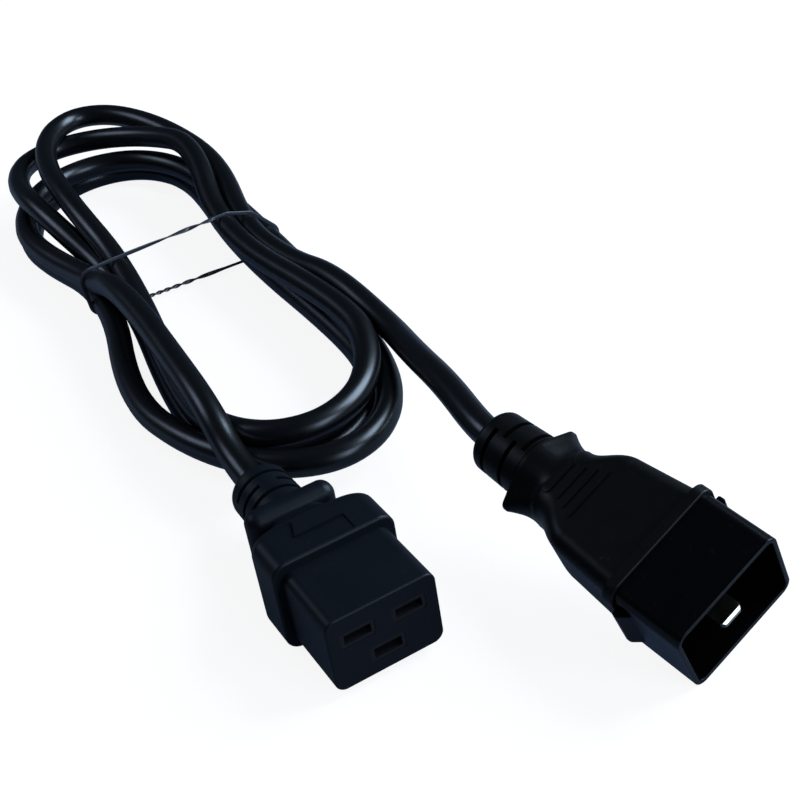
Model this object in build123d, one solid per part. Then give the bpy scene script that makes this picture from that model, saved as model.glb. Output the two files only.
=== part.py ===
from build123d import *
import math
import os

# A moulded C19 connector on its power cord, with the C20 plug at the cord's other end and
# the spare cord tied into a flat hank. Millimetres. X runs across the connector, its mating
# face looks along -Y, and Z is up. The origin is on the surface that everything rests on,
# under the middle of the connector. Each end is modelled along +Y from its own mating face,
# and is then set down where it lies.
os.makedirs("parts", exist_ok=True)

# Contact pattern, shared by both ends
contact_spacing = 13.0
earth_offset = 8.0
upper_row_rise = 3.6
blade_width = 6.3
blade_thickness = 2.0

# Fits and cuts
fit_gap = 0.05
overrun = 1.0

# Cord
cord_diameter = 7.8
core_diameter = 2.8
core_pitch_radius = 1.75
upper_core_angle = 30.0
conductor_diameter = 1.6
core_run = 17.8
core_straight = 4.0
core_bend_radius = 5.0
strip_length = 1.5

# Connector nose and its slots
nose_width = 28.0
nose_height = 20.6
nose_length = 20.5
nose_corner = 2.8
nose_edge_round = 0.5
slot_width = 6.7
slot_height = 2.5
slot_frame_wall = 1.0
slot_frame_corner = 0.7
slot_frame_recess = 0.15
slot_lip = 3.5
earth_slot_width = 7.0
earth_slot_height = 2.7

# Connector grip, its tapering shoulder and its collar
connector_length = 65.1
grip_width = 32.0
grip_height = 25.6
grip_corner = 4.0
grip_straight = 10.0
grip_edge_round = 0.8
shoulder_length = 10.5
shoulder_along_shares = (0.0, 0.2, 0.45, 0.7, 0.88, 1.0)
shoulder_inward_shares = (0.0, 0.07, 0.36, 0.76, 0.95, 1.0)
waist_width = 19.4
waist_height = 16.6
waist_corner = 6.5
collar_width = 23.6
collar_height = 20.0
collar_length = 7.0
collar_round = 3.2

# Raised pad and sunk field on the grip's top
pad_front_width = 12.6
pad_rear_width = 8.4
pad_length = 5.8
pad_height = 0.5
field_width = 13.0
field_length = 5.6
field_depth = 0.3
field_margin = 0.2

# Strain reliefs
connector_relief_radius = 8.3
connector_relief_end_radius = 7.9
plug_relief_radius = 8.6
plug_relief_end_radius = 8.0
relief_end_round = 2.0
relief_core_radius = 5.2
relief_slot = 1.3
connector_slot_rows = 3
connector_slot_first = 4.1
connector_slot_pitch = 4.0
connector_slot_sweep = 146.0
plug_slot_rows = 4
plug_slot_first = 1.3
plug_slot_pitch = 3.2
plug_slot_sweep = 186.0

# Sheet metal receptacles, crimps and the hard carrier behind the face
sheet = 0.35
receptacle_width = 6.5
receptacle_height = 2.1
receptacle_length = 16.5
receptacle_seam = 0.6
spring_length = 6.0
spring_bow = 0.35
neck_width = 2.4
neck_thickness = 0.8
neck_length = 2.5
barrel_length = 5.5
barrel_wall = 0.7
barrel_root = 0.8
carrier_width = 24.6
carrier_height = 16.6
carrier_base = 8.0
carrier_overlap = 3.7
carrier_corner = 1.5

# Block cast round the crimps and cores
block_width = 22.4
block_height = 14.2
block_end_width = 13.0
block_end_height = 11.5
block_corner = 2.0
block_end_corner = 4.5

# Plug shroud and blades
shroud_width = 31.0
shroud_height = 23.8
shroud_wall = 1.2
shroud_corner = 3.0
shroud_depth = 18.5
shroud_rim_round = 0.35
shroud_seat = 2.0
shroud_base_width = 25.0
shroud_base_height = 17.6
shroud_base_rear = 26.0
nub_height = 13.0
nub_length = 4.0
nub_flat = 1.4
nub_rise = 2.1
nub_round = 0.6
blade_recess = 4.0
earth_recess = 1.6
blade_chamfer = 0.9
blade_edge = 0.5
blade_tail = 3.0

# Plug grip, moulded over the back of the shroud
plug_length = 75.2
plug_front = 17.8
plug_band_width = 33.0
plug_band_height = 25.6
plug_band_length = 2.6
plug_groove = 0.4
plug_groove_depth = 0.2
plug_grip_width = 30.4
plug_grip_height = 22.6
plug_grip_rear_width = 28.0
plug_grip_rear_height = 20.4
plug_corner = 3.8
plug_edge_round = 0.5
plug_grip_length = 16.6
plug_shoulder_length = 13.6
plug_along_shares = (0.0, 0.25, 0.5, 0.775, 1.0)
plug_inward_shares = (0.0, 0.14, 0.48, 0.88, 1.0)
plug_waist_width = 20.2
plug_waist_height = 16.4
ear_span = 24.8
ear_tip_radius = 2.5
ear_root_radius = 6.0
ear_length = 9.4
ear_edge_length = 1.2
ear_edge_round = 0.4
ear_along_shares = (0.3, 0.6, 0.85, 1.0)
ear_outward_shares = (0.05, 0.3, 0.7, 1.0)
rib_count = 3
rib_first = 39.5
rib_pitch = 3.0
rib_width = 0.6
rib_rise = 0.45
rib_span = 14.0
rib_narrowing = 2.0
rest_pad_width = 10.5
rest_pad_length = 2.2
rest_pad_place = 49.7

# Where the plug lies: its mouth over the surface, turned, tipped nose down and rolled
plug_x = 60.1
plug_y = -77.05
plug_turn = 7.9
plug_tip = 6.4
plug_roll = -22.7

# Wire tie round the hank
tie_y = 164.45
tie_width = 1.7
tie_thickness = 0.5
tie_clearance = 0.1
tie_corner = 3.5

# The cord's route, chosen by hand. First from the connector's strain relief to the hank
connector_route = [
    (0.0, 32.55, 12.8),
    (0.0, 46.45, 12.8),
    (1.1, 63.15, 21.5),
    (3.7, 97.65, 21.4),
    (5.3, 120.25, 21.4),
    (5.7, 144.55, 20.7),
]
# then from the hank to the plug, whose strain relief is reached along its own axis
plug_route = [
    (60.0, 133.65, 12.4),
    (63.3, 107.95, 16.8),
    (63.1, 73.45, 14.8),
    (57.9, 49.45, 19.3),
    (53.9, 25.65, 23.6),
]
plug_lead_straight = 13.0
# Strands side by side in the tie, as (x, z), in the order in which the cord reaches them
left_seats = [(5.1, 13.7), (8.8, 6.7), (15.2, 5.4), (15.7, 13.8)]
right_seats = [(67.1, 5.5), (55.9, 5.4), (49.6, 13.5), (58.7, 12.9)]
# Half turns beyond the tie: left x, right x, start y, crown y, left z, crown z, right z, lean
far_turns = [
    (-2.1, 63.6, 209.55, 255.55, 11.7, 11.9, 11.7, 2.0),
    (-0.7, 64.1, 218.15, 262.85, 3.9, 3.9, 4.1, 5.4),
    (5.5, 63.8, 213.85, 269.85, 21.0, 17.0, 26.0, -7.3),
    (14.2, 68.1, 205.05, 273.65, 23.8, 24.8, 19.3, -0.9),
]
# Half turns on the connector's side of the tie, in the same terms
near_turns = [
    (-8.2, 58.8, 104.05, 33.85, 5.9, 10.7, 9.8, 1.5),
    (1.9, 56.9, 90.95, 47.35, 4.4, 3.9, 3.9, -2.2),
    (2.4, 55.6, 84.65, 44.95, 10.5, 14.6, 18.4, -3.5),
]
turn_steps = 6
turn_fullness_share = 0.95
turn_swell_share = 1.035
ring_directions = 16
neighbour_share = 0.125
arc_run_share = 0.45


def write(name, shape):
    """Writes one sub-part and says how large it is."""
    export_step(shape, f"parts/{name}.step")
    print(name, "solids", len(shape.solids()), "volume", round(shape.volume, 1))


def section(width, height, corner, along):
    """A rounded rectangle across the axis, at a place behind the mating face."""
    return Pos(0, along, 0) * (Plane.XZ * RectangleRounded(width, height, corner))


def bar(width, height, corner, start, end):
    """A rounded rectangle drawn out along the axis."""
    return extrude(section(width, height, corner, start), amount=end - start, dir=(0, 1, 0))


def block(width, height, start, end, side, rise):
    """A plain block along the axis, moved sideways and up."""
    return Pos(side, (start + end) / 2, rise) * Box(width, end - start, height)


def rod(radius, start, end, side, rise):
    """A round rod along the axis."""
    return Pos(side, (start + end) / 2, rise) * (Rot(90, 0, 0) * Cylinder(radius, end - start))


def front_edges(shape):
    return shape.faces().sort_by(Axis.Y)[0].edges()


def contact_places():
    """Side and rise of the three contacts behind the face."""
    half = contact_spacing / 2
    return {
        "line": (half, upper_row_rise),
        "neutral": (-half, upper_row_rise),
        "earth": (0, upper_row_rise - earth_offset),
    }


def core_places():
    """Side and rise of the same three cores where they lie twisted in the cord."""
    angle = math.radians(upper_core_angle)
    half = core_pitch_radius * math.cos(angle)
    rise = core_pitch_radius * math.sin(angle)
    return {
        "line": (half, rise),
        "neutral": (-half, rise),
        "earth": (0, -core_pitch_radius),
    }


def tube(points, radii, radius):
    """A round tube along straight runs joined by tangent arcs."""
    path = FilletPolyline(*points, radius=radii)
    start = Plane(origin=path @ 0, z_dir=path % 0)
    return sweep(start * Circle(radius), path=path)


def shoulder(wide, narrow, start, length, along_shares, inward_shares):
    """A grip that draws in from one rounded rectangle to a smaller one along an S curve."""
    sections = []
    for along, inward in zip(along_shares, inward_shares):
        sizes = [first + (last - first) * inward for first, last in zip(wide, narrow)]
        sections.append(section(*sizes, start + length * along))
    return loft(sections)


def slot_ring(place, middle_angle, sweep_angle):
    """One slot round part of a strain relief. Angle 0 is the right side and 90 is the top."""
    reach = plug_relief_radius + overrun - relief_core_radius
    shape = Pos(relief_core_radius + reach / 2, place) * Rectangle(reach, relief_slot)
    ring = revolve(shape, axis=Axis.Y, revolution_arc=sweep_angle)
    return Rot(0, -middle_angle - sweep_angle / 2, 0) * ring


def relief(start, end, radius, end_radius, slots):
    """A tapering strain relief with slots cut part of the way round it."""
    profile = Polyline((0, start), (radius, start), (end_radius, end), (0, end), close=True)
    body = revolve(make_face(profile), axis=Axis.Y)
    rim = body.edges().filter_by(GeomType.CIRCLE).sort_by(Axis.Y)[-1]
    body = fillet(rim, relief_end_round)
    for place, middle_angle, sweep_angle in slots:
        body -= slot_ring(place, middle_angle, sweep_angle)
    return body


# What lies behind each contact and blade, along the axis
def conductor_start(tail_start):
    return tail_start + neck_length + barrel_root


def core_start(tail_start):
    return tail_start + neck_length + barrel_length + strip_length


def jacket_start(tail_start):
    return core_start(tail_start) + core_run


def crimp_tail(tail_start, side, rise):
    """The neck and the crimp barrel, with its blind bore."""
    barrel_start = tail_start + neck_length
    bore = conductor_diameter / 2 + fit_gap
    neck = block(neck_width, neck_thickness, tail_start, barrel_start + barrel_root / 2, side, rise)
    barrel = rod(bore + barrel_wall, barrel_start, barrel_start + barrel_length, side, rise)
    hole = rod(bore, barrel_start + barrel_root, barrel_start + barrel_length + overrun, side, rise)
    return neck + (barrel - hole)


def conductor(tail_start, side, rise):
    """The stripped strands of one core, from the crimp's root to the insulation."""
    return rod(conductor_diameter / 2, conductor_start(tail_start), core_start(tail_start), side, rise)


def core(tail_start, name):
    """One insulated core, bent in from its contact to its place in the cord."""
    side, rise = contact_places()[name]
    end_side, end_rise = core_places()[name]
    start = core_start(tail_start)
    end = jacket_start(tail_start)
    points = [
        (side, start, rise),
        (side, start + core_straight, rise),
        (end_side, end - core_straight, end_rise),
        (end_side, end, end_rise),
    ]
    return tube(points, core_bend_radius, core_diameter / 2)


def block_envelope(start, end):
    """The outer form of the block cast over the crimps before the body is moulded on."""
    return loft([
        section(block_width, block_height, block_corner, start),
        section(block_end_width, block_end_height, block_end_corner, end),
    ])


def inner_mould(start, tail_start):
    """That block, with the room for the crimps, the bare strands and the cores."""
    shape = block_envelope(start, jacket_start(tail_start))
    clear = conductor_diameter / 2 + fit_gap
    for name, (side, rise) in contact_places().items():
        shape -= crimp_tail(tail_start, side, rise)
        shape -= rod(clear, conductor_start(tail_start), core_start(tail_start), side, rise)
        shape -= core(tail_start, name)
    return shape


def cord_end(tail_start, end):
    """The cord's jacket where it runs inside the moulding."""
    return rod(cord_diameter / 2, jacket_start(tail_start), end, 0, 0)


# Connector, along +Y from its mating face
def receptacle_front():
    return slot_lip + fit_gap


def receptacle_rear():
    return receptacle_front() + receptacle_length


def carrier_rear():
    return nose_length + carrier_base


def receptacle(side, rise):
    """A contact folded from sheet, with a seam along its top, two bowed springs and a crimp."""
    front = receptacle_front()
    rear = receptacle_rear()
    width = receptacle_width + 2 * sheet
    height = receptacle_height + 2 * sheet
    shell = bar(width, height, sheet * 2, front, rear)
    hollow = bar(receptacle_width, receptacle_height, sheet, front - overrun, rear - sheet)
    seam = block(receptacle_seam, sheet * 2, front - overrun, rear - sheet * 2, 0, height / 2)
    box = shell - hollow - seam
    middle = (front + rear) / 2
    for way in (-1, 1):
        place = way * (receptacle_width / 2 - spring_bow / 2)
        spring = block(spring_bow + sheet, receptacle_height, middle - spring_length / 2,
                       middle + spring_length / 2, place, 0)
        box += spring
    return Pos(side, 0, rise) * box + crimp_tail(rear, side, rise)


def slot_size(name):
    """The width and height of a contact's slot; the earth's is the largest."""
    if name == "earth":
        return earth_slot_width, earth_slot_height
    return slot_width, slot_height


def carrier_envelope(front):
    """The room that the carrier takes: three towers that reach the face, on one base."""
    base_start = nose_length - carrier_overlap
    shape = bar(carrier_width, carrier_height, carrier_corner, base_start, carrier_rear())
    for name, (side, rise) in contact_places().items():
        width, height = [size + 2 * slot_frame_wall for size in slot_size(name)]
        tower = bar(width, height, slot_frame_corner, front, base_start + overrun)
        shape += Pos(side, 0, rise) * tower
    return shape


def connector_insert():
    """The hard carrier, with a slot, a pocket and a crimp bore for each contact."""
    shape = carrier_envelope(slot_frame_recess)
    pocket_width = receptacle_width + 2 * sheet + 2 * fit_gap
    pocket_height = receptacle_height + 2 * sheet + 2 * fit_gap
    barrel_start = receptacle_rear() + neck_length
    barrel_clear = conductor_diameter / 2 + barrel_wall + 2 * fit_gap
    end = carrier_rear() + overrun
    for name, (side, rise) in contact_places().items():
        shape -= block(*slot_size(name), -overrun, slot_lip + overrun, side, rise)
        shape -= block(pocket_width, pocket_height, slot_lip, receptacle_rear() + fit_gap, side, rise)
        shape -= block(neck_width + 2 * fit_gap, neck_thickness + 2 * fit_gap,
                       receptacle_rear(), barrel_start, side, rise)
        shape -= rod(barrel_clear, barrel_start - fit_gap, end, side, rise)
    return shape


def connector_outer():
    """The matte body: nose, grip, shoulder, collar and slotted strain relief."""
    nose = bar(nose_width, nose_height, nose_corner, 0, nose_length + overrun)
    nose = fillet(front_edges(nose), nose_edge_round)
    shoulder_start = nose_length + grip_straight
    collar_start = shoulder_start + shoulder_length
    collar_middle = collar_start + collar_length / 2
    collar_end = collar_start + collar_length
    grip = bar(grip_width, grip_height, grip_corner, nose_length, shoulder_start)
    grip = fillet(front_edges(grip), grip_edge_round)
    drawn_in = shoulder(
        (grip_width, grip_height, grip_corner), (waist_width, waist_height, waist_corner),
        shoulder_start, shoulder_length, shoulder_along_shares, shoulder_inward_shares,
    )
    neck = bar(waist_width, waist_height, waist_corner, collar_start, collar_middle)
    collar = Pos(0, collar_middle, 0) * Box(collar_width, collar_length, collar_height)
    collar = fillet(collar.edges(), collar_round)
    slots = []
    for row in range(connector_slot_rows):
        place = collar_end + connector_slot_first + connector_slot_pitch * row
        middle_angle = 0 if row % 2 else 90
        slots.append((place, middle_angle, connector_slot_sweep))
        slots.append((place, middle_angle + 180, connector_slot_sweep))
    tail = relief(
        collar_middle, connector_length, connector_relief_radius, connector_relief_end_radius, slots
    )
    return nose + grip + drawn_in + neck + collar + tail


def label_pad():
    """The raised trapezium that starts where the sunk field ends."""
    front = nose_length + grip_edge_round + field_margin + field_length
    rear = front + pad_length
    front_half = pad_front_width / 2
    rear_half = pad_rear_width / 2
    outline = Polyline(
        (-front_half, front), (front_half, front), (rear_half, rear), (-rear_half, rear), close=True
    )
    top = grip_height / 2 + pad_height
    root = carrier_height / 2 + overrun
    return Pos(0, 0, root) * extrude(make_face(outline), amount=top - root)


def label_field():
    """The shallow sunk field at the front of the grip's top."""
    front = nose_length + grip_edge_round + field_margin
    floor = grip_height / 2 - field_depth
    depth = field_depth + overrun
    return block(field_width, depth, front, front + field_length, 0, floor + depth / 2)


def connector_housing():
    """The matte body with its pad and sunk field, round what is moulded into it."""
    shape = connector_outer() + label_pad() - label_field()
    shape -= carrier_envelope(-overrun)
    shape -= block_envelope(carrier_rear(), jacket_start(receptacle_rear()))
    return shape - cord_end(receptacle_rear(), connector_length + overrun)


# Plug, along +Y from its mouth
def blade_rear():
    return shroud_base_rear + blade_tail


def blade(side, rise, recess):
    """A flat blade with a chamfered tip, on its crimp."""
    plate = block(blade_width, blade_thickness, recess, blade_rear(), side, rise)
    plate = chamfer(front_edges(plate).filter_by(Axis.Z), blade_chamfer)
    plate = chamfer(front_edges(plate).filter_by(Axis.X), blade_edge)
    return plate + crimp_tail(blade_rear(), side, rise)


def latch_nub():
    """The ramp on the right side of the shroud that a locking cord retainer grips."""
    inner = shroud_width / 2 - shroud_wall / 2
    wall = shroud_width / 2
    outer = wall + nub_rise
    outline = Polyline(
        (inner, plug_front - nub_length), (wall, plug_front - nub_length),
        (outer, plug_front - nub_flat), (outer, plug_front), (inner, plug_front), close=True,
    )
    ramp = extrude(make_face(outline), amount=nub_height / 2, both=True)
    return fillet(ramp.faces().sort_by(Axis.X)[-1].edges(), nub_round)


def shroud_envelope(front):
    seat_end = plug_front + shroud_seat
    rim = bar(shroud_width, shroud_height, shroud_corner, front, seat_end)
    base = bar(shroud_base_width, shroud_base_height, shroud_corner, seat_end, shroud_base_rear)
    return rim + base


def plug_shroud():
    """The glossy shroud, its base wall with the blade slots, and the side nubs."""
    shape = shroud_envelope(0)
    shape -= bar(
        shroud_width - 2 * shroud_wall, shroud_height - 2 * shroud_wall,
        shroud_corner - shroud_wall, -overrun, shroud_depth,
    )
    shape = fillet(front_edges(shape), shroud_rim_round)
    shape += latch_nub() + mirror(latch_nub(), about=Plane.YZ)
    for side, rise in contact_places().values():
        shape -= block(blade_width, blade_thickness, shroud_depth - overrun,
                       shroud_base_rear + overrun, side, rise)
    return shape


def plug_inner_mould():
    shape = inner_mould(shroud_base_rear, blade_rear())
    for side, rise in contact_places().values():
        shape -= block(blade_width, blade_thickness, shroud_base_rear - overrun,
                       blade_rear(), side, rise)
    return shape


def ear_section(outward, along):
    """A round middle drawn out sideways into two rounded tips."""
    middle = plug_waist_height / 2 + (plug_relief_radius - plug_waist_height / 2) * outward
    tip = ear_root_radius + (ear_tip_radius - ear_root_radius) * outward
    reach = (plug_waist_width + (ear_span - plug_waist_width) * outward) / 2
    rounds = [Circle(middle)]
    for way in (-1, 1):
        rounds.append(Pos(way * (reach - tip), 0) * Circle(tip))
    outline = make_hull([edge for shape in rounds for edge in shape.edges()])
    return Pos(0, along, 0) * (Plane.XZ * outline)


def plug_ears(start):
    """Two pointed finger stops that flare out sideways and end in a flat rear face."""
    flare = ear_length - ear_edge_length
    sections = [section(plug_waist_width, plug_waist_height, waist_corner, start)]
    for along, outward in zip(ear_along_shares, ear_outward_shares):
        sections.append(ear_section(outward, start + flare * along))
    edge = extrude(sections[-1], amount=ear_edge_length, dir=(0, 1, 0))
    edge = fillet(edge.faces().sort_by(Axis.Y)[-1].edges(), ear_edge_round)
    return loft(sections) + edge


def plug_outer():
    """The matte grip: front band and groove, body, shoulder, ears and relief."""
    band_end = plug_front + plug_band_length
    groove_end = band_end + plug_groove
    grip_end = band_end + plug_grip_length
    shoulder_end = grip_end + plug_shoulder_length
    ears_end = shoulder_end + ear_length
    band = bar(plug_band_width, plug_band_height, plug_corner, plug_front, band_end)
    band = fillet(front_edges(band), plug_edge_round)
    groove = bar(
        plug_grip_width - 2 * plug_groove_depth, plug_grip_height - 2 * plug_groove_depth,
        plug_corner, band_end - overrun, groove_end + overrun,
    )
    wide = (plug_grip_rear_width, plug_grip_rear_height, plug_corner)
    narrow = (plug_waist_width, plug_waist_height, waist_corner)
    grip = loft([
        section(plug_grip_width, plug_grip_height, plug_corner, groove_end), section(*wide, grip_end),
    ])
    drawn_in = shoulder(
        wide, narrow, grip_end, plug_shoulder_length, plug_along_shares, plug_inward_shares
    )
    slots = []
    for row in range(plug_slot_rows):
        place = ears_end + plug_slot_first + plug_slot_pitch * row
        slots.append((place, 180 * (row % 2), plug_slot_sweep))
    tail = relief(ears_end, plug_length, plug_relief_radius, plug_relief_end_radius, slots)
    return band + groove + grip + drawn_in + plug_ears(shoulder_end) + tail


def grip_ribs(surface):
    """Three thin ribs and a thumb pad that follow the top of the shoulder."""
    places = []
    for index in range(rib_count):
        places.append((rib_span - rib_narrowing * index, rib_width, rib_first + rib_pitch * index))
    places.append((rest_pad_width, rest_pad_length, rest_pad_place))
    lifted = Pos(0, 0, rib_rise) * surface
    root = plug_band_height / 4
    ribs = []
    for width, length, place in places:
        column = Pos(0, place, root) * extrude(SlotOverall(width, length), amount=plug_band_height)
        ribs.append(column & lifted)
    return ribs


def plug_housing():
    """The grip with its ribs, round the shroud's base, the cast block and the cord."""
    shape = plug_outer()
    for rib in grip_ribs(shape):
        shape += rib
    shape -= shroud_envelope(plug_front - overrun)
    shape -= block_envelope(shroud_base_rear, jacket_start(blade_rear()))
    return shape - cord_end(blade_rear(), plug_length + overrun)


# Cord
def turn_points(turn):
    """The control points of one half turn of the hank, from its left end to its right."""
    left, right, start, crown, left_z, crown_z, right_z, lean = turn
    middle = (left + right) / 2
    half = (right - left) / 2 * turn_swell_share
    reach = (crown - start) * turn_swell_share
    points = []
    for step in range(turn_steps + 1):
        angle = math.pi * step / turn_steps
        inner = math.sin(angle)
        across = math.copysign(abs(math.cos(angle)) ** turn_fullness_share, -math.cos(angle))
        side_z = left_z if step * 2 < turn_steps else right_z
        rise = crown_z + (side_z - crown_z) * (1 - inner)
        out = max(inner, 0) ** turn_fullness_share
        points.append((middle + half * across + lean * inner, start + reach * out, rise))
    return points


def hank_points():
    """The control points of the whole hank in the cord's order, worked out turn by turn."""
    points = []
    for index, far in enumerate(far_turns):
        points.append((left_seats[index][0], tie_y, left_seats[index][1]))
        points += turn_points(far)
        points.append((right_seats[index][0], tie_y, right_seats[index][1]))
        if index < len(near_turns):
            points += reversed(turn_points(near_turns[index]))
    return points


def eased(points):
    """Where the cord's smooth curve passes each of its inner control points."""
    places = []
    for before, here, after in zip(points, points[1:], points[2:]):
        places.append([
            h + (b + a - 2 * h) * neighbour_share for b, h, a in zip(before, here, after)
        ])
    return places


def hank_stations():
    """The strands that lie side by side at each station round the hank."""
    points = hank_points()
    places = eased([connector_route[-1], *points, plug_route[0]])
    far_count = turn_steps + 3
    turn_count = far_count + turn_steps + 1
    stations = []
    for step in range(turn_count):
        strands = []
        for index in range(len(far_turns)):
            place = index * turn_count + step
            if place < len(places):
                strands.append(places[place])
        stations.append(strands)
    return stations, far_count


def on_route(points, y):
    """The point where a route passes a place along Y."""
    for first, last in zip(points, points[1:]):
        share = (y - first[1]) / (last[1] - first[1])
        if 0 <= share <= 1:
            return [a + (b - a) * share for a, b in zip(first, last)]
    return list(points[-1])


def ring_outline(strands, heading):
    """The outline round the strands at one station, across their heading."""
    centre = [sum(strand[axis] for strand in strands) / len(strands) for axis in range(2)]
    across = (heading[1], -heading[0])
    seats = []
    for x, y, z in strands:
        seats.append(((x - centre[0]) * across[0] + (y - centre[1]) * across[1], z))
    radius = cord_diameter / 2 / math.cos(math.pi / ring_directions)
    points = []
    for index in range(ring_directions):
        angle = 2 * math.pi * index / ring_directions
        side_way, rise_way = math.cos(angle), math.sin(angle)
        side, rise = max(seats, key=lambda seat: seat[0] * side_way + seat[1] * rise_way)
        side += side_way * radius
        rise += rise_way * radius
        points.append((centre[0] + across[0] * side, centre[1] + across[1] * side, rise))
    return make_face(Polyline(*points, close=True))


def hank():
    """One closed ring with the outer shape of the bundled turns."""
    stations, far_count = hank_stations()
    beside_plug_lead = stations[far_count]
    beside_plug_lead.append(on_route(plug_route, beside_plug_lead[0][1]))
    middles = [[sum(s[axis] for s in strands) / len(strands) for axis in range(2)] for strands in stations]
    sections = []
    for index, strands in enumerate(stations):
        before = middles[index - 1]
        after = middles[(index + 1) % len(stations)]
        length = math.dist(before, after)
        heading = ((after[0] - before[0]) / length, (after[1] - before[1]) / length)
        sections.append(ring_outline(strands, heading))
    far_half = loft(sections[:far_count], ruled=True)
    near_half = loft(sections[far_count - 1:] + sections[:1], ruled=True)
    return far_half + near_half


def arc_radii(points):
    """The largest tangent arc that each inner point of a route has room for."""
    radii = []
    for before, here, after in zip(points, points[1:], points[2:]):
        first = Vector(*here) - Vector(*before)
        second = Vector(*after) - Vector(*here)
        turn = math.radians(first.get_angle(second))
        radii.append(arc_run_share * min(first.length, second.length) / math.tan(turn / 2))
    return radii


def lead(name, points, ring):
    """A plain tube for a stretch of the cord that isn't coiled, up to where the hank hides it."""
    radii = arc_radii(points)
    whole = tube(points, radii, cord_diameter / 2)
    length = FilletPolyline(*points, radius=radii).length
    print(name, "radii", [round(radius) for radius in radii])
    print(name, "volume over section times length",
          round(whole.volume / (math.pi * cord_diameter ** 2 / 4 * length), 4))
    pieces = (whole - ring).solids()
    return max(pieces, key=lambda piece: piece.volume)


def bundle_middle(seats, y):
    return (sum(x for x, _ in seats) / len(seats), y, sum(z for _, z in seats) / len(seats))


def wire_tie(ring):
    """A closed flat band round both sides of the hank, just clear of it."""
    whole = ring.bounding_box()
    slab = Pos(0, tie_y, 0) * Box(2 * whole.diagonal, tie_width, 2 * whole.diagonal)
    inside = (ring & slab).bounding_box()
    place = Pos(inside.center().X, 0, inside.center().Z)
    start, end = tie_y - tie_width / 2, tie_y + tie_width / 2
    width, height = inside.size.X + 2 * tie_clearance, inside.size.Z + 2 * tie_clearance
    wall = 2 * tie_thickness
    outer = bar(width + wall, height + wall, tie_corner + tie_thickness, start, end)
    return place * (outer - bar(width, height, tie_corner, start - overrun, end + overrun))


# Connector pieces, set down on the surface
connector_place = Pos(0, -connector_length / 2, grip_height / 2)
write("connector_housing", connector_place * connector_housing())
write("connector_insert", connector_place * connector_insert())
write("connector_inner_mould", connector_place * inner_mould(carrier_rear(), receptacle_rear()))
for name, (side, rise) in contact_places().items():
    write(f"connector_{name}_contact", connector_place * receptacle(side, rise))
    write(f"connector_{name}_conductor", connector_place * conductor(receptacle_rear(), side, rise))
    write(f"connector_{name}_core", connector_place * core(receptacle_rear(), name))
write("connector_cord_end", connector_place * cord_end(receptacle_rear(), connector_length))

# Plug pieces, lowered until the lowest corner meets the surface
plug_body = plug_housing()
plug_mouth = plug_shroud()
plug_lie = Pos(plug_x, plug_y, 0) * Rot(0, 0, plug_turn) * Rot(plug_tip, 0, 0) * Rot(0, plug_roll, 0)
plug_lift = -min((plug_lie * piece).bounding_box().min.Z for piece in (plug_body, plug_mouth))
plug_place = Pos(0, 0, plug_lift) * plug_lie
write("plug_housing", plug_place * plug_body)
write("plug_shroud", plug_place * plug_mouth)
write("plug_inner_mould", plug_place * plug_inner_mould())
for name, (side, rise) in contact_places().items():
    recess = earth_recess if name == "earth" else blade_recess
    write(f"plug_{name}_blade", plug_place * blade(side, rise, recess))
    write(f"plug_{name}_conductor", plug_place * conductor(blade_rear(), side, rise))
    write(f"plug_{name}_core", plug_place * core(blade_rear(), name))
write("plug_cord_end", plug_place * cord_end(blade_rear(), plug_length))

# Cord and tie
hank_ring = hank()
write("hank", hank_ring)
write("wire_tie", wire_tie(hank_ring))
connector_lead_points = connector_route + [bundle_middle(left_seats, tie_y)]
write("connector_lead", lead("connector_lead", connector_lead_points, hank_ring))
plug_exit = plug_place * Pos(0, plug_length, 0)
before_exit = plug_place * Pos(0, plug_length + plug_lead_straight, 0)
plug_lead_points = [bundle_middle(right_seats, plug_route[0][1])]
plug_lead_points += plug_route[1:] + [tuple(before_exit.position), tuple(plug_exit.position)]
print("plug lead points", [tuple(round(value, 2) for value in point) for point in plug_lead_points])
write("plug_lead", lead("plug_lead", plug_lead_points, hank_ring))
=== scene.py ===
import math

import bmesh
import bpy
from mathutils import Matrix, Vector


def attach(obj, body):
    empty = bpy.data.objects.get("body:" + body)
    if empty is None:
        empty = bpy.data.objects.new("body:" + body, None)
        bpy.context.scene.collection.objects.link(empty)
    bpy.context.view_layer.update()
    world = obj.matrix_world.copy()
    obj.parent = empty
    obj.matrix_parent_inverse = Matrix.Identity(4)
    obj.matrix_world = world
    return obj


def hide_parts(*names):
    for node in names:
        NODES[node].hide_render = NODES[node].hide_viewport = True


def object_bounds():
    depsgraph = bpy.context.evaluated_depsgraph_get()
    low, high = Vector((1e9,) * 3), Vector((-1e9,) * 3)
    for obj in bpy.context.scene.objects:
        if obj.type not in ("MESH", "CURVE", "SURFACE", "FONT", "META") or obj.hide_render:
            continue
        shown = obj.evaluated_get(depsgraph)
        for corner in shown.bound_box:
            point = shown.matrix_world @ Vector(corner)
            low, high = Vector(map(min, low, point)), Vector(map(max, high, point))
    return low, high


bl_info = {
    "name": "C19 connector dressing",
    "version": (1, 0, 0),
    "blender": (4, 5, 0),
    "location": "View3D > Sidebar > Power Cord",
    "description": "Lays the cord, ties its hank and finishes both moulded ends of a power cord",
    "category": "Object",
}

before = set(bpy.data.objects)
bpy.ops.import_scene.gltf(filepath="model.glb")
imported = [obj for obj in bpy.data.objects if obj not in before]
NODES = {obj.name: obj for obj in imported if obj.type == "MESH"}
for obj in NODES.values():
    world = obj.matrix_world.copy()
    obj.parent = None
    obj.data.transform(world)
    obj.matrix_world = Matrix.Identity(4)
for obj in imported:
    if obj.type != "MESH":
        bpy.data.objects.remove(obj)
CAD_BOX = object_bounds()
CONTACTS = ("line", "neutral", "earth")

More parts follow.
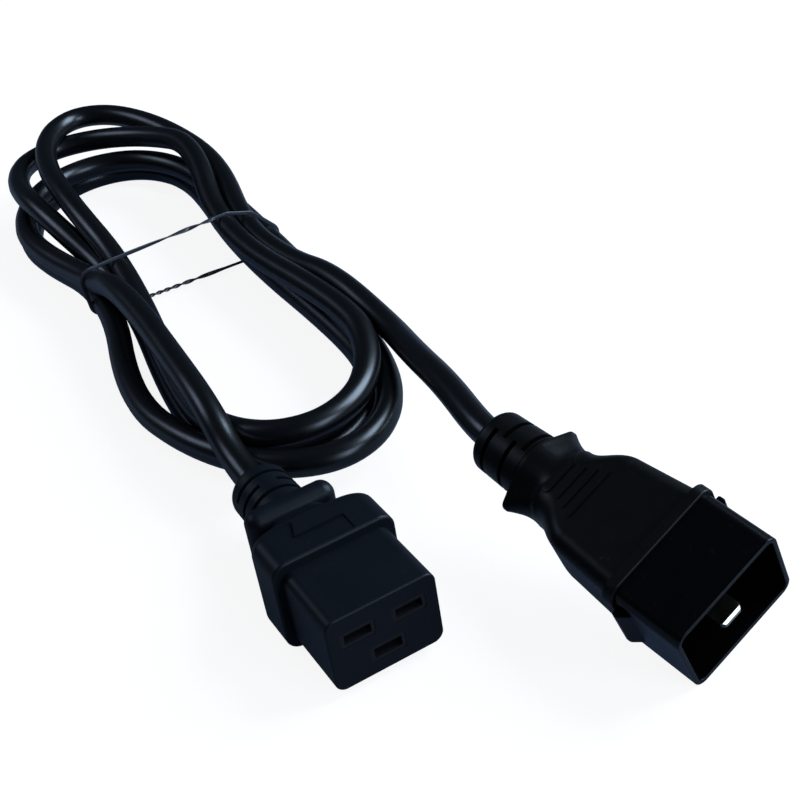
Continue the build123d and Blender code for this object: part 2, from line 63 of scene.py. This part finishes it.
# The cord's route, its seats in the tie and its half turns, in metres. They were fitted to the
# cord in the photograph, not chosen by hand. First from the connector's strain relief to the hank
CONNECTOR_ROUTE = [
    (0.0, 0.03255, 0.0128),
    (0.0, 0.04645, 0.0128),
    (0.0011, 0.06315, 0.0215),
    (0.0037, 0.09765, 0.0214),
    (0.0053, 0.12025, 0.0214),
    (0.0057, 0.14455, 0.0207),
]
# then from the hank to the plug's strain relief
PLUG_ROUTE = [
    (0.06, 0.13365, 0.0124),
    (0.0633, 0.10795, 0.0168),
    (0.0631, 0.07345, 0.0148),
    (0.0579, 0.04945, 0.0193),
    (0.0539, 0.02565, 0.0236),
    (0.04914, 0.00193, 0.02484),
    (0.04983, -0.00303, 0.02428),
]
# Where the tie lies along Y
TIE_Y = 0.16445
# Strands side by side in the tie, as (x, z), in the order in which the cord reaches them
LEFT_SEATS = [(0.0051, 0.0137), (0.0088, 0.0067), (0.0152, 0.0054), (0.0157, 0.0138)]
RIGHT_SEATS = [(0.0671, 0.0055), (0.0559, 0.0054), (0.0496, 0.0135), (0.0587, 0.0129)]
# Half turns: left x, right x, start y, crown y, left z, crown z, right z, lean
FAR_TURNS = [
    (-0.0021, 0.0636, 0.20955, 0.25555, 0.0117, 0.0119, 0.0117, 0.002),
    (-0.0007, 0.0641, 0.21815, 0.26285, 0.0039, 0.0039, 0.0041, 0.0054),
    (0.0055, 0.0638, 0.21385, 0.26985, 0.021, 0.017, 0.026, -0.0073),
    (0.0142, 0.0681, 0.20505, 0.27365, 0.0238, 0.0248, 0.0193, -0.0009),
]
NEAR_TURNS = [
    (-0.0082, 0.0588, 0.10405, 0.03385, 0.0059, 0.0107, 0.0098, 0.0015),
    (0.0019, 0.0569, 0.09095, 0.04735, 0.0044, 0.0039, 0.0039, -0.0022),
    (0.0024, 0.0556, 0.08465, 0.04495, 0.0105, 0.0146, 0.0184, -0.0035),
]
# How a half turn is drawn: the parts that it is cut into, the power that makes it rounder or
# squarer, and how far its control points stand out, because the spline runs inside them
TURN_STEPS = 6
TURN_FULLNESS = 0.95
TURN_SWELL = 1.035

# How the tie is drawn: the directions tried round the strands, the gap between its points in the
# free runs, and how unevenly the twist is spread along them, from 0 to 1
WRAP_STEPS = 240
TIE_POINT_GAP = 0.0008
TWIST_UNEVENNESS = 0.8

# The camera, as fitted to the photograph's view of both ends
CAMERA_PLACE = (-0.0846, -0.23855, 0.2281)
CAMERA_FORWARD = (0.3503, 0.7425, -0.5709)
CAMERA_UP = (0.389, 0.439, 0.810)
CAMERA_LENS = 62.8
SENSOR_WIDTH = 36.0

# How strongly the plastics reflect, where 0.5 is as much as glass does
MOULDING_SHEEN = 0.22
JACKET_SHEEN = 0.65

# Depth of the surfaces' relief in metres
SOFT_GRAIN_DEPTH = 0.00003
HARD_GRAIN_DEPTH = 0.00002
RIPPLE_DEPTH = 0.00004
DRAWN_LINE_DEPTH = 0.00002
# How much the fine skin adds to the jacket's ripples
SKIN_SHARE = 0.08

# What every surface group gives to its material
SURFACE_OUTPUTS = (
    ("Colour", "NodeSocketColor"),
    ("Roughness", "NodeSocketFloat"),
    ("Height", "NodeSocketFloat"),
)

# How far the floor reaches to every side
FLOOR_REACH = 6.0

# What the camera, the light and the reflections find in the floor and the room
FLOOR_LIGHT = (0, 0, 0)
FLOOR_SEEN = (0.89, 0.89, 0.89)
FLOOR_MIRRORED = (0.02, 0.04, 0.09)
ROOM_LIGHT = (0.15, 0.165, 0.19)
ROOM_SEEN = (1, 1, 1)
ROOM_MIRRORED = (0.02, 0.03, 0.045)


class CordSettings(bpy.types.PropertyGroup):
    """Sizes and colour of the round cord."""

    diameter: bpy.props.FloatProperty(
        name="Diameter", description="Outer diameter of the cord's jacket",
        default=0.0078, min=0.004, max=0.012, precision=4, unit="LENGTH",
    )
    length: bpy.props.FloatProperty(
        name="Length", description="Real length from one strain relief to the other",
        default=2.05, min=0.5, max=5.0, unit="LENGTH",
    )
    jacket_colour: bpy.props.FloatVectorProperty(
        name="Jacket colour", description="Colour of the extruded jacket",
        default=(0.0016, 0.0017, 0.0020), size=3, subtype="COLOR", min=0, max=1,
    )
    jacket_roughness: bpy.props.FloatProperty(
        name="Jacket roughness", description="How much the jacket scatters what it reflects",
        default=0.31, min=0, max=1, subtype="FACTOR",
    )


class TieSettings(bpy.types.PropertyGroup):
    """Sizes and colour of the twisted tie."""

    ribbon_width: bpy.props.FloatProperty(
        name="Ribbon width", description="Width of the plastic ribbon with its wire core",
        default=0.0014, min=0.001, max=0.004, precision=4, unit="LENGTH",
    )
    ribbon_thickness: bpy.props.FloatProperty(
        name="Ribbon thickness", description="Thickness of the ribbon",
        default=0.0005, min=0.0003, max=0.001, precision=4, unit="LENGTH",
    )
    lower_turns: bpy.props.IntProperty(
        name="Lower half turns", description="Half turns of twist in the run under the hank",
        default=7, min=0, max=20,
    )
    upper_turns: bpy.props.IntProperty(
        name="Upper half turns", description="Half turns of twist in the run over the hank",
        default=2, min=0, max=20,
    )
    ribbon_colour: bpy.props.FloatVectorProperty(
        name="Ribbon colour", description="Colour of the tie's plastic",
        default=(0.030, 0.032, 0.042), size=3, subtype="COLOR", min=0, max=1,
    )


class MouldingSettings(bpy.types.PropertyGroup):
    """Colours and finish of both moulded ends."""

    connector_colour: bpy.props.FloatVectorProperty(
        name="Connector colour", description="Colour of the connector's soft moulding",
        default=(0.0036, 0.0050, 0.0078), size=3, subtype="COLOR", min=0, max=1,
    )
    plug_colour: bpy.props.FloatVectorProperty(
        name="Plug colour", description="Colour of the plug's soft moulding",
        default=(0.0025, 0.0023, 0.0022), size=3, subtype="COLOR", min=0, max=1,
    )
    shroud_colour: bpy.props.FloatVectorProperty(
        name="Shroud colour", description="Colour of the plug's hard shroud",
        default=(0.0012, 0.0012, 0.0015), size=3, subtype="COLOR", min=0, max=1,
    )
    grain_size: bpy.props.FloatProperty(
        name="Grain size", description="Size of the spark-eroded grain on the soft mouldings",
        default=0.00035, min=0.0001, max=0.002, precision=5, unit="LENGTH",
    )


class StageSettings(bpy.types.PropertyGroup):
    """Floor and lamps."""

    floor_colour: bpy.props.FloatVectorProperty(
        name="Floor colour", description="Colour of the floor",
        default=(0.20, 0.20, 0.20), size=3, subtype="COLOR", min=0, max=1,
    )
    key_power: bpy.props.FloatProperty(
        name="Key lamp power", description="Power of the lamp to the right",
        default=19.0, min=0,
    )
    fill_power: bpy.props.FloatProperty(
        name="Fill lamp power", description="Power of the lamp behind and to the left",
        default=1.5, min=0,
    )
    front_power: bpy.props.FloatProperty(
        name="Front lamp power", description="Power of the lamp in front",
        default=5.0, min=0,
    )


def new_material(name):
    """A material with its shader ready, and the shader returned with it."""
    material = bpy.data.materials.new(name)
    material.use_nodes = True
    return material, material.node_tree.nodes["Principled BSDF"]


def add_node(tree, kind, **values):
    """A shader node with its settings and unlinked inputs filled in."""
    node = tree.nodes.new(kind)
    for name, value in values.items():
        if name in node.inputs:
            node.inputs[name].default_value = value
        else:
            setattr(node, name, value)
    return node


def new_group(name, inputs):
    """A shader node group with its own inputs and the outputs that every surface has."""
    group = bpy.data.node_groups.new(name, "ShaderNodeTree")
    for label, kind, value in inputs:
        socket = group.interface.new_socket(name=label, in_out="INPUT", socket_type=kind)
        socket.default_value = value
    for label, kind in SURFACE_OUTPUTS:
        group.interface.new_socket(name=label, in_out="OUTPUT", socket_type=kind)
    return group, group.nodes.new("NodeGroupInput"), group.nodes.new("NodeGroupOutput")


def noise(tree, vector, **values):
    """A noise texture laid out by a vector."""
    texture = add_node(tree, "ShaderNodeTexNoise", **values)
    tree.links.new(vector, texture.inputs["Vector"])
    return texture


def remap(tree, source, **limits):
    """A value moved to another range, whose limits are from_min, from_max, to_min and to_max."""
    mapped = add_node(tree, "ShaderNodeMapRange")
    for name, value in limits.items():
        mapped.inputs[name.replace("_", " ").title()].default_value = value
    tree.links.new(source, mapped.inputs["Value"])
    return mapped.outputs["Result"]


def combine(tree, operation, first, second, **settings):
    """Two values put together by one sum."""
    result = add_node(tree, "ShaderNodeMath", operation=operation, **settings)
    tree.links.new(first, result.inputs[0])
    tree.links.new(second, result.inputs[1])
    return result.outputs[0]


def cover(tree, share, colour, covering):
    """A colour that another one covers by a share."""
    covered = add_node(tree, "ShaderNodeMix", data_type="RGBA", B=covering)
    tree.links.new(share, covered.inputs["Factor"])
    tree.links.new(colour, covered.inputs["A"])
    return covered.outputs["Result"]


def moulded_surface_group():
    """Fine erosion grain, slow waves in the sheen and faint handling marks."""
    group, given, result = new_group("Moulded surface", (
        ("Colour", "NodeSocketColor", (0.015, 0.015, 0.016, 1)),
        ("Roughness", "NodeSocketFloat", 0.5),
        ("Grain scale", "NodeSocketFloat", 3000.0),
        ("Marks", "NodeSocketFloat", 0.3),
    ))
    link = group.links.new
    place = add_node(group, "ShaderNodeTexCoord").outputs["Object"]
    grain = noise(group, place, Detail=2.0, Roughness=0.6)
    link(given.outputs["Grain scale"], grain.inputs["Scale"])
    waves = noise(group, place, Scale=90.0, Detail=3.0, Roughness=0.55)
    marks = noise(group, place, Scale=420.0, Detail=5.0, Roughness=0.75)
    rare = remap(group, marks.outputs["Fac"], from_min=0.62, from_max=0.82)
    mark_share = combine(group, "MULTIPLY", rare, given.outputs["Marks"])
    pale = cover(group, mark_share, given.outputs["Colour"], (0.09, 0.09, 0.095, 1))
    wave_range = remap(group, waves.outputs["Fac"], to_min=-0.09, to_max=0.09)
    wavy = combine(group, "ADD", wave_range, given.outputs["Roughness"])
    rough = combine(group, "ADD", wavy, mark_share, use_clamp=True)
    link(pale, result.inputs["Colour"])
    link(rough, result.inputs["Roughness"])
    link(grain.outputs["Fac"], result.inputs["Height"])


def jacket_surface_group():
    """The extruded jacket: soft ripples, faint scuffs and dust."""
    group, given, result = new_group("Extruded jacket", (
        ("Colour", "NodeSocketColor", (0.012, 0.012, 0.014, 1)),
        ("Roughness", "NodeSocketFloat", 0.34),
    ))
    link = group.links.new
    place = add_node(group, "ShaderNodeTexCoord").outputs["Object"]
    ripple = noise(group, place, Scale=260.0, Detail=2.0, Roughness=0.5)
    skin = noise(group, place, Scale=2600.0, Detail=3.0, Roughness=0.6)
    faint_skin = add_node(group, "ShaderNodeMath", operation="MULTIPLY")
    faint_skin.inputs[1].default_value = SKIN_SHARE
    link(skin.outputs["Fac"], faint_skin.inputs[0])
    height = combine(group, "ADD", ripple.outputs["Fac"], faint_skin.outputs[0])
    scuff = noise(group, place, Scale=620.0, Detail=4.0, Roughness=0.7)
    rare = remap(group, scuff.outputs["Fac"], from_min=0.6, from_max=0.8, to_max=0.12)
    dusty = cover(group, rare, given.outputs["Colour"], (0.06, 0.062, 0.068, 1))
    uneven = remap(group, ripple.outputs["Fac"], to_min=-0.03, to_max=0.03)
    rough = combine(group, "ADD", uneven, given.outputs["Roughness"], use_clamp=True)
    link(dusty, result.inputs["Colour"])
    link(rough, result.inputs["Roughness"])
    link(height, result.inputs["Height"])


def metal_surface_group():
    """Drawn or pressed metal: fine lines along the axis and a light tarnish."""
    group, given, result = new_group("Drawn metal", (
        ("Colour", "NodeSocketColor", (0.7, 0.6, 0.35, 1)),
        ("Tarnish", "NodeSocketFloat", 0.3),
    ))
    link = group.links.new
    place = add_node(group, "ShaderNodeTexCoord").outputs["Object"]
    stretch = add_node(group, "ShaderNodeMapping", Scale=(4000.0, 160.0, 4000.0))
    link(place, stretch.inputs["Vector"])
    lines = noise(group, stretch.outputs["Vector"], Scale=1.0, Detail=3.0, Roughness=0.6)
    cloud = noise(group, place, Scale=320.0, Detail=3.0, Roughness=0.6)
    tarnish = combine(group, "MULTIPLY", cloud.outputs["Fac"], given.outputs["Tarnish"])
    dull = cover(group, tarnish, given.outputs["Colour"], (0.18, 0.13, 0.07, 1))
    rough = remap(group, cloud.outputs["Fac"], to_min=0.14, to_max=0.30)
    link(dull, result.inputs["Colour"])
    link(rough, result.inputs["Roughness"])
    link(lines.outputs["Fac"], result.inputs["Height"])


def use_surface(material, shader, group_name, values, bump_distance, bump_strength):
    """Places a surface group in a material with its own values and bump."""
    tree = material.node_tree
    surface = tree.nodes.new("ShaderNodeGroup")
    surface.node_tree = bpy.data.node_groups[group_name]
    for name, value in values.items():
        surface.inputs[name].default_value = value
    bump = add_node(tree, "ShaderNodeBump", Distance=bump_distance, Strength=bump_strength)
    tree.links.new(surface.outputs["Colour"], shader.inputs["Base Color"])
    tree.links.new(surface.outputs["Roughness"], shader.inputs["Roughness"])
    tree.links.new(surface.outputs["Height"], bump.inputs["Height"])
    tree.links.new(bump.outputs["Normal"], shader.inputs["Normal"])


def opaque(colour):
    """A colour with full cover as its fourth value."""
    return (*colour, 1.0)


def moulded_material(name, colour, roughness, grain_size, grain_depth, marks):
    """Soft or hard moulded plastic with its own grain."""
    material, shader = new_material(name)
    shader.inputs["Specular IOR Level"].default_value = MOULDING_SHEEN
    values = {
        "Colour": opaque(colour),
        "Roughness": roughness,
        "Grain scale": 1 / grain_size,
        "Marks": marks,
    }
    use_surface(
        material, shader, "Moulded surface", values, bump_distance=grain_depth, bump_strength=0.5
    )
    return material


def jacket_material(name, colour, roughness):
    """Extruded plastic with its own ripples."""
    material, shader = new_material(name)
    shader.inputs["Specular IOR Level"].default_value = JACKET_SHEEN
    values = {"Colour": opaque(colour), "Roughness": roughness}
    use_surface(
        material, shader, "Extruded jacket", values, bump_distance=RIPPLE_DEPTH, bump_strength=0.2
    )
    return material


def metal_material(name, colour, tarnish):
    """Drawn or pressed metal with its own tarnish."""
    material, shader = new_material(name)
    shader.inputs["Metallic"].default_value = 1.0
    values = {"Colour": opaque(colour), "Tarnish": tarnish}
    use_surface(
        material, shader, "Drawn metal", values, bump_distance=DRAWN_LINE_DEPTH, bump_strength=0.4
    )
    return material


def dress(node, material):
    """Gives a carried-over piece its finish."""
    piece = NODES[node]
    piece.data.materials.clear()
    piece.data.materials.append(material)


def turn_points(turn):
    """The control points of one half turn of the hank, from its left end to its right."""
    left, right, start, crown, left_z, crown_z, right_z, lean = turn
    middle = (left + right) / 2
    half = (right - left) / 2 * TURN_SWELL
    reach = (crown - start) * TURN_SWELL
    points = []
    for step in range(TURN_STEPS + 1):
        angle = math.pi * step / TURN_STEPS
        inner = math.sin(angle)
        across = math.copysign(abs(math.cos(angle)) ** TURN_FULLNESS, -math.cos(angle))
        side_z = left_z if step * 2 < TURN_STEPS else right_z
        rise = crown_z + (side_z - crown_z) * (1 - inner)
        out = max(inner, 0) ** TURN_FULLNESS
        points.append((middle + half * across + lean * inner, start + reach * out, rise))
    return points


def hank_points():
    """The control points of the whole hank in the cord's order, worked out turn by turn."""
    points = []
    for index, far in enumerate(FAR_TURNS):
        points.append((LEFT_SEATS[index][0], TIE_Y, LEFT_SEATS[index][1]))
        points += turn_points(far)
        points.append((RIGHT_SEATS[index][0], TIE_Y, RIGHT_SEATS[index][1]))
        if index < len(NEAR_TURNS):
            points += reversed(turn_points(NEAR_TURNS[index]))
    return points


def cord_curve(name, points, radius):
    """One open smooth spline with a round section."""
    curve = bpy.data.curves.new(name, "CURVE")
    curve.dimensions = "3D"
    curve.resolution_u = 10
    curve.bevel_depth = radius
    curve.bevel_resolution = 7
    curve.use_fill_caps = True
    spline = curve.splines.new("NURBS")
    spline.points.add(len(points) - 1)
    for point, place in zip(spline.points, points):
        point.co = (*place, 1.0)
    spline.order_u = 3
    spline.use_endpoint_u = True
    cord = bpy.data.objects.new(name, curve)
    bpy.context.collection.objects.link(cord)
    return cord


def centre_line(cord):
    """The places along the cord's own spline."""
    bare = cord.data.copy()
    bare.bevel_depth = 0
    carrier = bpy.data.objects.new("centre_line", bare)
    bpy.context.collection.objects.link(carrier)
    bpy.context.view_layer.update()
    line = bpy.data.meshes.new_from_object(carrier)
    places = [vertex.co.copy() for vertex in line.vertices]
    bpy.data.objects.remove(carrier)
    return places


def strands_at(places, y):
    """Where the cord passes a place along Y, as (x, z)."""
    seats = []
    for first, last in zip(places, places[1:]):
        if (first.y - y) * (last.y - y) <= 0 and first.y != last.y:
            share = (y - first.y) / (last.y - first.y)
            x = first.x + (last.x - first.x) * share
            z = first.z + (last.z - first.z) * share
            seats.append((x, z))
    return seats


class OBJECT_OT_lay_cord(bpy.types.Operator):
    """Lay the cord from the connector through its hank to the plug"""

    bl_idname = "object.lay_cord"
    bl_label = "Lay Cord"

    def execute(self, context):
        settings = context.scene.cord_settings
        points = CONNECTOR_ROUTE + hank_points() + PLUG_ROUTE
        cord = cord_curve("power_cord", points, settings.diameter / 2)
        cord.data.materials.append(
            jacket_material("Cord jacket", settings.jacket_colour, settings.jacket_roughness)
        )
        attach(cord, "root")
        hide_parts("connector_lead", "hank", "plug_lead")
        return {"FINISHED"}


class OBJECT_OT_tie_hank(bpy.types.Operator):
    """Wrap a flat plastic tie round both sides of the hank"""

    bl_idname = "object.tie_hank"
    bl_label = "Tie Hank"

    def execute(self, context):
        settings = context.scene.tie_settings
        cord = bpy.data.objects["power_cord"]
        radius = context.scene.cord_settings.diameter / 2
        seats = strands_at(centre_line(cord), TIE_Y)
        expected = len(LEFT_SEATS) + len(RIGHT_SEATS)
        if len(seats) != expected:
            raise RuntimeError(f"the tie should cross {expected} strands, not {len(seats)}")
        tie = tie_ribbon("hank_tie", seats, radius, settings)
        plastic = jacket_material("Tie plastic", settings.ribbon_colour, roughness=0.3)
        tie.data.materials.append(plastic)
        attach(tie, "root")
        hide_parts("wire_tie")
        return {"FINISHED"}


def wrap_line(seats, stand_off):
    """The closed outline of a tight wrap round strands, as (x, z), from its lowest place."""
    outline = []
    for step in range(WRAP_STEPS):
        angle = 2 * math.pi * step / WRAP_STEPS - math.pi / 2
        way_x, way_z = math.cos(angle), math.sin(angle)
        x, z = max(seats, key=lambda seat: seat[0] * way_x + seat[1] * way_z)
        outline.append((x + way_x * stand_off, z + way_z * stand_off))
    return outline


def spread(outline, gap):
    """The same line with extra points in its long straight runs."""
    points = [outline[0]]
    for first, last in zip(outline, outline[1:] + outline[:1]):
        length = math.dist(first, last)
        parts = max(1, round(length / gap))
        for part in range(1, parts + 1):
            share = part / parts
            x = first[0] + (last[0] - first[0]) * share
            z = first[1] + (last[1] - first[1]) * share
            points.append((x, z))
    return points


def tie_ribbon(name, seats, cord_radius, settings):
    """A thin ribbon that lies flat on the strands and twists where it hangs free."""
    thickness = settings.ribbon_thickness
    floor = thickness / 2
    outline = wrap_line(seats, cord_radius + thickness / 2)
    line = [(x, max(z, floor)) for x, z in spread(outline, TIE_POINT_GAP)]
    middle = sum(x for x, _ in seats) / len(seats)
    left_side = max(x for x, _ in seats if x < middle) + cord_radius
    right_side = min(x for x, _ in seats if x > middle) - cord_radius
    free_span = right_side - left_side
    centre_z = sum(z for _, z in seats) / len(seats)
    curve = bpy.data.curves.new(name, "CURVE")
    curve.dimensions = "3D"
    curve.twist_mode = "MINIMUM"
    curve.extrude = (settings.ribbon_width - thickness) / 2
    curve.bevel_depth = thickness / 2
    curve.bevel_resolution = 2
    spline = curve.splines.new("POLY")
    spline.points.add(len(line) - 1)
    tilt = 0.0
    previous = line[0]
    for point, (x, z) in zip(spline.points, line):
        if left_side < x < right_side:
            below = z < centre_z
            half_turns = settings.lower_turns if below else settings.upper_turns
            travelled = (x - left_side if below else right_side - x) / free_span
            step = abs(x - previous[0]) / free_span
            pace = 1 + TWIST_UNEVENNESS * math.cos(math.pi * travelled)
            tilt += math.pi * half_turns * step * pace
        point.co = (x, TIE_Y, z, 1.0)
        point.tilt = tilt
        previous = (x, z)
    tie = bpy.data.objects.new(name, curve)
    bpy.context.collection.objects.link(tie)
    return tie


class OBJECT_OT_finish_connector(bpy.types.Operator):
    """Give the connector's body, carrier and contacts their finishes"""

    bl_idname = "object.finish_connector"
    bl_label = "Finish Connector"

    def execute(self, context):
        settings = context.scene.moulding_settings
        body = moulded_material(
            "Connector moulding", settings.connector_colour, roughness=0.44,
            grain_size=settings.grain_size, grain_depth=SOFT_GRAIN_DEPTH, marks=0.12,
        )
        carrier = moulded_material(
            "Hard carrier", (0.010, 0.010, 0.011), roughness=0.42,
            grain_size=settings.grain_size, grain_depth=HARD_GRAIN_DEPTH, marks=0.1,
        )
        dress("connector_housing", body)
        dress("connector_insert", carrier)
        for contact in CONTACTS:
            dress(f"connector_{contact}_contact", bpy.data.materials["Contact brass"])
        return {"FINISHED"}


class OBJECT_OT_finish_plug(bpy.types.Operator):
    """Give the plug's grip, shroud and blades their finishes"""

    bl_idname = "object.finish_plug"
    bl_label = "Finish Plug"

    def execute(self, context):
        settings = context.scene.moulding_settings
        body = moulded_material(
            "Plug moulding", settings.plug_colour, roughness=0.4,
            grain_size=settings.grain_size, grain_depth=SOFT_GRAIN_DEPTH, marks=0.15,
        )
        shroud = moulded_material(
            "Glossy shroud", settings.shroud_colour, roughness=0.26,
            grain_size=0.002, grain_depth=HARD_GRAIN_DEPTH, marks=0.1,
        )
        dress("plug_housing", body)
        dress("plug_shroud", shroud)
        for contact in CONTACTS:
            dress(f"plug_{contact}_blade", bpy.data.materials["Blade metal"])
        return {"FINISHED"}


class OBJECT_OT_finish_inner_pieces(bpy.types.Operator):
    """Give the cast blocks, conductors, cores and jacket ends their finishes"""

    bl_idname = "object.finish_inner_pieces"
    bl_label = "Finish Inner Pieces"

    def execute(self, context):
        settings = context.scene.cord_settings
        cast = moulded_material(
            "Cast block", (0.07, 0.07, 0.075), roughness=0.55,
            grain_size=context.scene.moulding_settings.grain_size,
            grain_depth=SOFT_GRAIN_DEPTH, marks=0.2,
        )
        jacket = jacket_material("Jacket end", settings.jacket_colour, settings.jacket_roughness)
        core_colours = {
            "line": (0.01, 0.01, 0.01),
            "neutral": (0.72, 0.72, 0.69),
            "earth": (0.03, 0.22, 0.07),
        }
        for end in ("connector", "plug"):
            dress(f"{end}_inner_mould", cast)
            dress(f"{end}_cord_end", jacket)
            for contact, colour in core_colours.items():
                dress(f"{end}_{contact}_conductor", bpy.data.materials["Bare copper"])
                core = jacket_material(f"Core {contact}", colour, roughness=0.4)
                dress(f"{end}_{contact}_core", core)
        return {"FINISHED"}


class SCENE_OT_set_stage(bpy.types.Operator):
    """Set the floor, the lamps, the surroundings and the camera"""

    bl_idname = "scene.set_stage"
    bl_label = "Set Stage"

    def execute(self, context):
        settings = context.scene.stage_settings
        floor = floor_piece("stage_floor", FLOOR_REACH)
        floor.data.materials.append(floor_material(settings.floor_colour))
        low, high = CAD_BOX
        middle = [(low[axis] + high[axis]) / 2 for axis in range(3)]
        area_lamp(
            "key_lamp", place=(0.95, -0.10, 0.68), target=middle, size=0.8,
            power=settings.key_power, colour=(0.60, 0.78, 1.0),
        )
        area_lamp(
            "fill_lamp", place=(-0.55, 0.75, 0.70), target=middle, size=0.4,
            power=settings.fill_power, colour=(0.62, 0.74, 1.0),
        )
        area_lamp(
            "front_lamp", place=(0.35, -0.95, 0.45), target=middle, size=0.6,
            power=settings.front_power, colour=(0.60, 0.76, 1.0),
        )
        surroundings()
        aim_camera()
        context.scene.view_settings.view_transform = "Standard"
        return {"FINISHED"}


def floor_piece(name, reach):
    """A single flat sheet under the object, as far as its reach to every side."""
    shape = bmesh.new()
    bmesh.ops.create_grid(shape, x_segments=1, y_segments=1, size=reach)
    mesh = bpy.data.meshes.new(name)
    shape.to_mesh(mesh)
    shape.free()
    floor = bpy.data.objects.new(name, mesh)
    bpy.context.collection.objects.link(floor)
    return floor


def backdrop_colour(tree, lighting, seen, mirrored):
    """One colour for the light that is given off, one for the camera and one for reflections."""
    rays = tree.nodes.new("ShaderNodeLightPath")
    straight = combine(
        tree, "MAXIMUM", rays.outputs["Is Camera Ray"], rays.outputs["Is Transmission Ray"]
    )
    shown = add_node(
        tree, "ShaderNodeMix", data_type="RGBA", A=opaque(lighting), B=opaque(seen)
    )
    tree.links.new(straight, shown.inputs["Factor"])
    glossy = rays.outputs["Is Glossy Ray"]
    return cover(tree, glossy, shown.outputs["Result"], opaque(mirrored))


def floor_material(colour):
    """A matte floor that looks white to the camera, with the object's shadow kept."""
    material, shader = new_material("Pale floor")
    tree = material.node_tree
    shader.inputs["Base Color"].default_value = opaque(colour)
    shader.inputs["Roughness"].default_value = 0.9
    shader.inputs["Specular IOR Level"].default_value = 0.0
    glow = backdrop_colour(tree, FLOOR_LIGHT, FLOOR_SEEN, FLOOR_MIRRORED)
    tree.links.new(glow, shader.inputs["Emission Color"])
    shader.inputs["Emission Strength"].default_value = 1.0
    return material


def area_lamp(name, place, target, size, power, colour):
    """A square soft lamp aimed at the object."""
    lamp = bpy.data.lights.new(name, "AREA")
    lamp.size = size
    lamp.energy = power
    lamp.color = colour
    holder = bpy.data.objects.new(name, lamp)
    holder.location = place
    away = Vector(place) - Vector(target)
    holder.rotation_euler = away.to_track_quat("Z", "Y").to_euler()
    bpy.context.collection.objects.link(holder)


def surroundings():
    """A room that is white to the camera, gives an even light and looks dim in reflections."""
    world = bpy.data.worlds.new("Studio")
    bpy.context.scene.world = world
    world.use_nodes = True
    tree = world.node_tree
    background = tree.nodes["Background"]
    sky = backdrop_colour(tree, ROOM_LIGHT, ROOM_SEEN, ROOM_MIRRORED)
    tree.links.new(sky, background.inputs["Color"])
    background.inputs["Strength"].default_value = 1.0


def aim_camera():
    """The photograph's viewpoint."""
    lens = bpy.data.cameras.new("camera")
    lens.lens = CAMERA_LENS
    lens.sensor_width = SENSOR_WIDTH
    lens.clip_start = 0.01
    camera = bpy.data.objects.new("camera", lens)
    back = -Vector(CAMERA_FORWARD).normalized()
    right = Vector(CAMERA_UP).cross(back).normalized()
    up = back.cross(right)
    turn = Matrix((right, up, back)).transposed()
    camera.matrix_world = Matrix.Translation(CAMERA_PLACE) @ turn.to_4x4()
    bpy.context.collection.objects.link(camera)
    bpy.context.scene.camera = camera


class VIEW3D_PT_power_cord(bpy.types.Panel):
    """Lists the steps that dress the cord and its two ends"""

    bl_label = "Power Cord"
    bl_idname = "VIEW3D_PT_power_cord"
    bl_space_type = "VIEW_3D"
    bl_region_type = "UI"
    bl_category = "Power Cord"

    def draw(self, context):
        layout = self.layout
        for group_name in SETTINGS:
            group = getattr(context.scene, group_name)
            box = layout.box()
            for name in group.__annotations__:
                box.prop(group, name)
        for operator in OPERATORS:
            layout.operator(operator.bl_idname)


SETTINGS = {
    "cord_settings": CordSettings,
    "tie_settings": TieSettings,
    "moulding_settings": MouldingSettings,
    "stage_settings": StageSettings,
}
OPERATORS = (
    OBJECT_OT_lay_cord,
    OBJECT_OT_tie_hank,
    OBJECT_OT_finish_connector,
    OBJECT_OT_finish_plug,
    OBJECT_OT_finish_inner_pieces,
    SCENE_OT_set_stage,
)


def register():
    """Adds the settings, the steps and the panel."""
    for name, settings in SETTINGS.items():
        bpy.utils.register_class(settings)
        setattr(bpy.types.Scene, name, bpy.props.PointerProperty(type=settings))
    for operator in OPERATORS:
        bpy.utils.register_class(operator)
    bpy.utils.register_class(VIEW3D_PT_power_cord)


def unregister():
    """Takes the panel, the steps and the settings out again."""
    bpy.utils.unregister_class(VIEW3D_PT_power_cord)
    for operator in reversed(OPERATORS):
        bpy.utils.unregister_class(operator)
    for name, settings in SETTINGS.items():
        delattr(bpy.types.Scene, name)
        bpy.utils.unregister_class(settings)


def main():
    """Builds the shared surfaces and runs each step in order."""
    register()
    moulded_surface_group()
    jacket_surface_group()
    metal_surface_group()
    metal_material("Contact brass", (0.72, 0.58, 0.30), tarnish=0.35)
    metal_material("Blade metal", (0.80, 0.74, 0.60), tarnish=0.1)
    metal_material("Bare copper", (0.72, 0.36, 0.20), tarnish=0.3)
    bpy.ops.object.lay_cord()
    bpy.ops.object.tie_hank()
    bpy.ops.object.finish_connector()
    bpy.ops.object.finish_plug()
    bpy.ops.object.finish_inner_pieces()
    bpy.ops.scene.set_stage()


if __name__ == "__main__":
    main()
